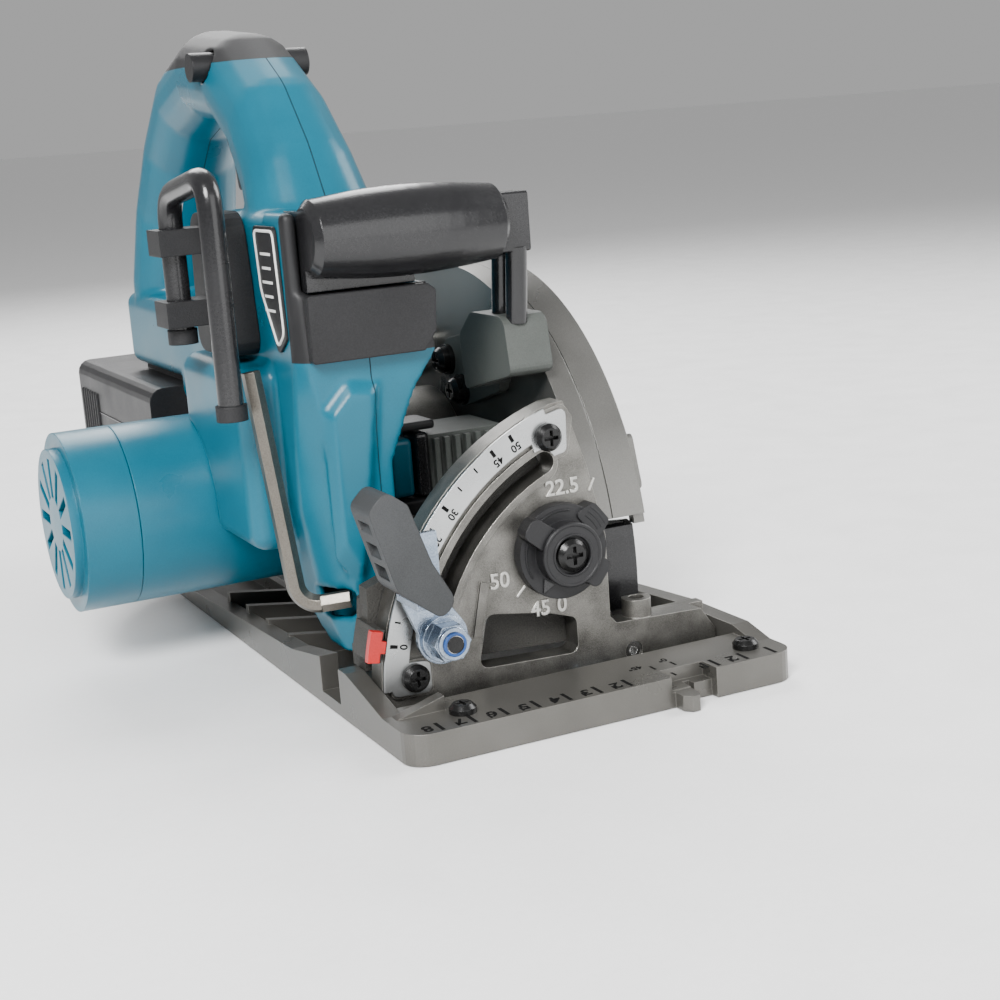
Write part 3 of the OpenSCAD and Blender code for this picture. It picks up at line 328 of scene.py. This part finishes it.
ruler = []
for value in range(-8, 4):
    if value not in NOTCH_MARKS:
        ruler.append((on_strip(CENTIMETRE * value, 4.4), (1.1, 6.4, MARK_HEIGHT)))
    if value not in (-8, -1, 3):
        ruler.append((on_strip(CENTIMETRE * (value - 0.5), 3.0), (0.7, 2.8, MARK_HEIGHT)))
for x in (0, -7):
    ruler.append((on_strip(x, 11.6), (0.75, 3.6, 0.1)))
boxes("ruler_marks", ruler, ink, "base")
for value in (-8, -7, -6, -5, -4, -3, -2, 1, 2):
    side = "l" if value < 0 else "r"
    lettering(f"ruler_number_{abs(value)}{side}", str(abs(value)), 6.2,
              on_strip(CENTIMETRE * value - 3.6, 4.6), ink, "base")
for degrees, x, y in ((0, -1.2, 16.2), (45, -11.6, 14.6)):
    lettering(f"ruler_degrees_{degrees}", f"{degrees}°", 3.6, on_strip(x, y), ink, "base")

# ---- Bevel scale: marks every five degrees, heavier where there is a number ----
BEVEL_HEIGHT = 7.5
SCALE_ZERO = 12.45
LABELLED = (0, 15, 22.5, 30, 45, 50)
MARK_RADIUS, NUMBER_RADIUS = 82.3, 79.3
plate_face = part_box("scale_plate")[0][1] / MM


def on_scale(value, radius):
    """A place on the plate at this bevel angle, turned so that text there reads from behind the saw."""
    angle = math.radians(SCALE_ZERO + value)
    outwards = Vector((-math.cos(angle), 0, math.sin(angle)))
    along = Vector((-math.sin(angle), 0, -math.cos(angle)))
    origin = outwards * radius + Vector((0, plate_face, BEVEL_HEIGHT))
    return facing(origin, along, -outwards)


scale_marks = []
for value in sorted(set(range(0, 55, 5)) | set(LABELLED)):
    width, length = (1.1, 2.4) if value in LABELLED else (0.5, 1.9)
    scale_marks.append((on_scale(value, MARK_RADIUS), (width, length, 0.1)))
boxes("scale_marks", scale_marks, ink, "base")
for value in LABELLED:
    lettering(f"scale_number_{str(value).replace('.', '_')}", f"{value:g}", 3.3,
              on_scale(value, NUMBER_RADIUS), ink, "base")

def tilted(angle):
    """A direction in the XZ plane, this many degrees above +X."""
    return Vector((math.cos(math.radians(angle)), 0, math.sin(math.radians(angle))))


# ---- Raised numbers and pointers cast on the quadrant round the stop knob ----
QUADRANT_FACE = 34.7
STOP_NUMBERS = (("22.5", -21.6, 63.0), ("50", -44.4, 38.0), ("45", -31.5, 27.0), ("0", -24.2, 27.0))
for words, x, z in STOP_NUMBERS:
    lettering(f"stop_number_{words.replace('.', '_')}", words, 6.6, facing((x, QUADRANT_FACE, z), X, Z),
              relief_cast, "base", raised=0.45)
stop_pointers = []
for x, z, turn in ((-11.6, 62.4, 62), (-37.6, 33.6, 45)):
    along = tilted(turn)
    across = Vector((-along.z, 0, along.x))
    stop_pointers.append((facing((x, QUADRANT_FACE, z), along, across), (4.2, 0.7, 0.9)))
boxes("stop_pointers", stop_pointers, relief_cast, "base", rounding=0.15)

# ---- Stop knob: crescent ridge, collar, seat, pointer and finger ridges ----
KNOB = Vector((-24.5, 30.4, 44.5))
POINTER_ANGLE = 236


def round_knob(radius, angle, lift):
    """A place round the knob's axis, lifted towards the front of the saw."""
    return KNOB + tilted(angle) * radius - Y * lift


def knob_bead(name, radius, angles, lift, bead, closed=False):
    rod(name, [round_knob(radius, angle, lift) for angle in angles], bead, satin_black, "stop_knob",
        closed=closed)


knob_bead("knob_crescent", 12.6, range(78, 214, 6), 0.1, 0.35)
knob_bead("knob_collar", 9.2, range(0, 360, 10), 5.6, 0.7, closed=True)
knob_bead("knob_seat", 6.2, range(0, 360, 12), 6.0, 0.4, closed=True)
for ridge in range(3):
    knob_bead(f"knob_ridge_{ridge}", 12.6 + 1.5 * ridge, range(24, 56, 4), 0.5, 0.45)
prism("knob_pointer", [(0, -2.6), (2.0, 1.4), (-2.0, 1.4)], 0.4,
      facing(round_knob(11.4, POINTER_ANGLE, 0.2), tilted(POINTER_ANGLE + 90), tilted(POINTER_ANGLE - 180)),
      gloss_black, "stop_knob")

# ---- Clamp nut: blue nylon ring and the dark end of the bolt ----
nylon = material("blue_nylon", (0.01, 0.05, 0.2), (0.02, 0.09, 0.3), 0.35, grain=0.4, bump=0.1)
NUT_FRONT = Vector((-67.0, 19.0, 26.71))
rod("nut_nylon_ring", [NUT_FRONT + tilted(angle) * 3.1 - Y * 0.1 for angle in range(0, 360, 15)], 0.55, nylon,
    "bevel_lever", closed=True)
rod("clamp_bolt_end", [NUT_FRONT, NUT_FRONT - Y * 0.8], 2.5, screw_black, "bevel_lever")

# ---- Body: one soft moulded skin over both shells, with its seam and rubber zones in the material ----
def zone(tree, coords, tests):
    """1 where every test holds. A test is (axis, "GREATER_THAN" or "LESS_THAN", place in mm)."""
    total = None
    for axis, compare, place_mm in tests:
        test = tree.nodes.new("ShaderNodeMath")
        test.operation = compare
        tree.links.new(coords.outputs[axis], test.inputs[0])
        test.inputs[1].default_value = place_mm * MM
        if total:
            product = tree.nodes.new("ShaderNodeMath")
            product.operation = "MULTIPLY"
            tree.links.new(total, product.inputs[0])
            tree.links.new(test.outputs[0], product.inputs[1])
            total = product.outputs[0]
        else:
            total = test.outputs[0]
    return total


def zoned(name, base, zones):
    """A copy of a material whose zones, (tests, colour, roughness), are painted over it."""
    made = base.copy()
    made.name = name
    tree = made.node_tree
    shader = tree.nodes["Principled BSDF"]
    coords = tree.nodes.new("ShaderNodeSeparateXYZ")
    tree.links.new(tree.nodes["Texture Coordinate"].outputs["Object"], coords.inputs[0])
    for tests, paint, roughness in zones:
        mask = zone(tree, coords, tests)
        for socket, kind, value in (("Base Color", "RGBA", (*paint, 1)), ("Roughness", "FLOAT", roughness)):
            mix = tree.nodes.new("ShaderNodeMix")
            mix.data_type = kind
            tree.links.new(mask, mix.inputs[0])
            before = shader.inputs[socket].links[0].from_socket
            first, second = [i for i in mix.inputs if i.enabled and i.name in "AB"]
            tree.links.new(before, first)
            second.default_value = value
            result = [o for o in mix.outputs if o.enabled][0]
            tree.links.new(result, shader.inputs[socket])
    return made


SEAM = -69
SKIN_VOXEL = 1.2
SEAM_COLOUR = (0.001, 0.012, 0.018)
RUBBER_COLOUR = (0.011, 0.011, 0.012)
seam = (("X", "GREATER_THAN", SEAM - 0.2), ("X", "LESS_THAN", SEAM + 0.2))
leg_corner = (("Z", "GREATER_THAN", 106.2), ("Y", "LESS_THAN", 67.6))
handle_top = (("Z", "GREATER_THAN", 196), ("Y", "GREATER_THAN", 118))
body_finish = zoned("teal_body", teal, (
    (seam, SEAM_COLOUR, 0.8),
    (leg_corner, RUBBER_COLOUR, 0.5),
    (handle_top, RUBBER_COLOUR, 0.55),
))
skin_mesh = bmesh.new()
for name in ("body_shell_left", "body_shell_right"):
    shell = nodes[name].data.copy()
    shell.transform(nodes[name].matrix_world)
    skin_mesh.from_mesh(shell)
    bpy.data.meshes.remove(shell)
mesh = bpy.data.meshes.new("body_skin")
skin_mesh.to_mesh(mesh)
skin_mesh.free()
skin = place(bpy.data.objects.new("body_skin", mesh), body_finish, "saw")
for polygon in mesh.polygons:
    polygon.material_index = 0
remesh = skin.modifiers.new("even_skin", "REMESH")
remesh.mode = "VOXEL"
remesh.voxel_size = SKIN_VOXEL * MM
remesh.use_smooth_shade = True
smooth = skin.modifiers.new("moulded_edges", "SMOOTH")
smooth.factor = 0.5
smooth.iterations = 1
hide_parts("body_shell_left", "body_shell_right")

# ---- Hook rod with rubber ends ----
HOOK_X, HOOK_BACK, HOOK_FRONT = -110, 114, 70
hook_corners = [(HOOK_X, HOOK_FRONT, 93), (HOOK_X, HOOK_FRONT, 162),
                (HOOK_X, HOOK_BACK, 156), (HOOK_X, HOOK_BACK, 112)]
hook_rod = rod("hook_rod", rounded_path(hook_corners, 10), 3.8, gloss_black, "hook")
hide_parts("hook")
for label, y, z in (("front", HOOK_FRONT, 93), ("back", HOOK_BACK, 112)):
    rod(f"hook_end_{label}", [(HOOK_X, y, z - 1.6), (HOOK_X, y, z + 3)], 4.7, rubber, "hook")

# ---- Label: white rim and plain bars ----
label_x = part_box("rating_label")[0][0] / MM
LABEL_CORNERS = ((69.4, 114.6), (75.6, 110.4), (86.6, 126.6), (88.4, 144.6), (71.4, 144.6))
rim = rounded_path([(label_x, y, z) for y, z in LABEL_CORNERS], 2.2, closed=True)
rod("label_rim", rim, 0.45, white_ink, "saw", closed=True)
label_bars = []
for i in range(5):
    label_bars.append((facing((label_x, 80, 121 + 4.2 * i), -Y, Z), (9 - 1.4 * (i % 2), 0.8, 0.2)))
boxes("label_bars", label_bars, white_ink, "saw")

# ---- Duct beside the finned baffle: a teal strip, a gloss strip and a dark surround ----
boxes("duct_teal", [(facing((-49.6, 96, 64.5), X, Z), (7.6, 19, 12))], teal, "saw",
      rounding=1.6)
boxes("duct_gloss", [(facing((-42.6, 95, 65), X, Z), (4.8, 21, 12))], gloss_black, "saw",
      rounding=1.4)
duct_surround = [(facing((-46, 96, 51.6), X, Z), (17, 5, 16)), (facing((-46, 98, 77.5), X, Z), (18, 3, 14))]
boxes("duct_ledge", duct_surround, satin_black, "saw", rounding=1)

# ---- Blade cover: a raised line, flat screws and an arrow ----
ARBOR_Y, ARBOR_Z = 140, 27.5
COVER_FACE = 13.0


def on_cover(radius, angle, lift=0.0):
    turn = math.radians(angle)
    return Vector((COVER_FACE + lift, ARBOR_Y + radius * math.cos(turn), ARBOR_Z + radius * math.sin(turn)))


rod("cover_panel_line", [on_cover(74, angle) for angle in range(16, 165, 4)], 0.7, case_cast, "saw")
for angle in (30, 70, 110, 150):
    rod(f"cover_screw_{angle}", [on_cover(84, angle, -0.4), on_cover(84, angle, 0.9)], 3.2, screw_black,
        "saw")
prism("depth_cue_arrow", [(-3, -3), (3, -3), (0, 4)], 0.25, facing((COVER_FACE, 196, 48), Y, Z), white_ink,
      "saw")

# ---- Battery: grip ribs, parting line and charge window ----
battery_low, battery_high = (Vector(corner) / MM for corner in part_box("battery"))
battery_parts = []
for side, x in ((-1, battery_low.x), (1, battery_high.x)):
    for i in range(7):
        origin = (x + side * 0.1, battery_high.y - 30 + 4 * i, 64)
        battery_parts.append((facing(origin, (0, -side, 0), Z), (1.8, 22, 1.4)))
boxes("battery_ribs", battery_parts, rubber, "battery", rounding=0.5)
middle_z = battery_low.z + 26
rod("battery_parting_line", rounded_path([(battery_low.x, battery_low.y, middle_z),
                                          (battery_high.x, battery_low.y, middle_z),
                                          (battery_high.x, battery_high.y, middle_z),
                                          (battery_low.x, battery_high.y, middle_z)], 5, closed=True), 0.4,
    gloss_black, "battery", closed=True)
boxes("charge_window", [(facing((-92, battery_high.y, 74), -X, Z), (14, 5, 0.8))], gloss_black, "battery",
      rounding=0.3)
charge_lights = []
for i in range(4):
    charge_lights.append((facing((-97 + 3.3 * i, battery_high.y + 0.4, 74), -X, Z), (1.8, 2.2, 0.3)))
boxes("charge_lights", charge_lights,
      lens, "battery", rounding=0.2)

# ---- Light, floor and camera ----
FLOOR = -0.0003
WELL_DEPTH = -0.09


def floor_with_slot():
    """A pale floor level with the sole. The blade and guard hang into a well, as over the gap of a bench."""
    outer = 30.0
    x0, x1, y0, y1 = -0.075, 0.024, 0.04, 0.256
    rim = [(x0, y0), (x1, y0), (x1, y1), (x0, y1)]
    far = [(-outer, -outer), (outer, -outer), (outer, outer), (-outer, outer)]
    points = [(*p, FLOOR) for p in far + rim] + [(*p, WELL_DEPTH) for p in rim]
    faces = []
    for i in range(4):
        j = (i + 1) % 4
        faces += [[i, j, 4 + j, 4 + i], [4 + i, 4 + j, 8 + j, 8 + i]]
    mesh = bpy.data.meshes.new("floor")
    mesh.from_pydata(points, [], faces + [[8, 9, 10, 11]])
    return bpy.data.objects.new("floor", mesh)


floor = floor_with_slot()
pale = material("pale_floor", (0.9, 0.9, 0.9), (0.93, 0.93, 0.93), 0.6, grain=3, bump=0.01)
floor.data.materials.append(pale)
bpy.context.collection.objects.link(floor)

world = bpy.data.worlds.new("studio")
world.use_nodes = True
world.node_tree.nodes["Background"].inputs["Color"].default_value = (1, 1, 1, 1)
world.node_tree.nodes["Background"].inputs["Strength"].default_value = 0.42
bpy.context.scene.world = world
AIM = Vector((-0.03, 0.12, 0.06))
for name, position, size, watts in (("key", (-0.75, -0.75, 0.95), 0.5, 38),
                                    ("front", (0.25, -1.1, 0.45), 0.9, 7),
                                    ("right", (1.0, 0.0, 0.7), 0.6, 12), ("back", (0.1, 1.1, 0.9), 0.8, 16)):
    lamp = bpy.data.lights.new(name, "AREA")
    lamp.size = size
    lamp.energy = watts
    stand = bpy.data.objects.new(name, lamp)
    aim = AIM - Vector(position)
    stand.rotation_euler = aim.to_track_quat("-Z", "Y").to_euler()
    stand.location = position
    bpy.context.collection.objects.link(stand)

azimuth, elevation, roll = (math.radians(a) for a in (-25.04, 12.40, -4.26))
forward = Vector((-math.sin(azimuth) * math.cos(elevation), math.cos(azimuth) * math.cos(elevation),
                  -math.sin(elevation)))
level = Vector((math.cos(azimuth), math.sin(azimuth), 0))
upward = level.cross(forward)
camera_right = level * math.cos(roll) + upward * math.sin(roll)
camera_up = upward * math.cos(roll) - level * math.sin(roll)
lens_data = bpy.data.cameras.new("camera")
lens_data.sensor_width = 36
lens_data.lens = 63.41
camera = bpy.data.objects.new("camera", lens_data)
camera.matrix_world = Matrix((camera_right, camera_up, -forward)).transposed().to_4x4()
camera.location = (-0.2568, -0.4247, 0.1739)
bpy.context.collection.objects.link(camera)
bpy.context.scene.camera = camera
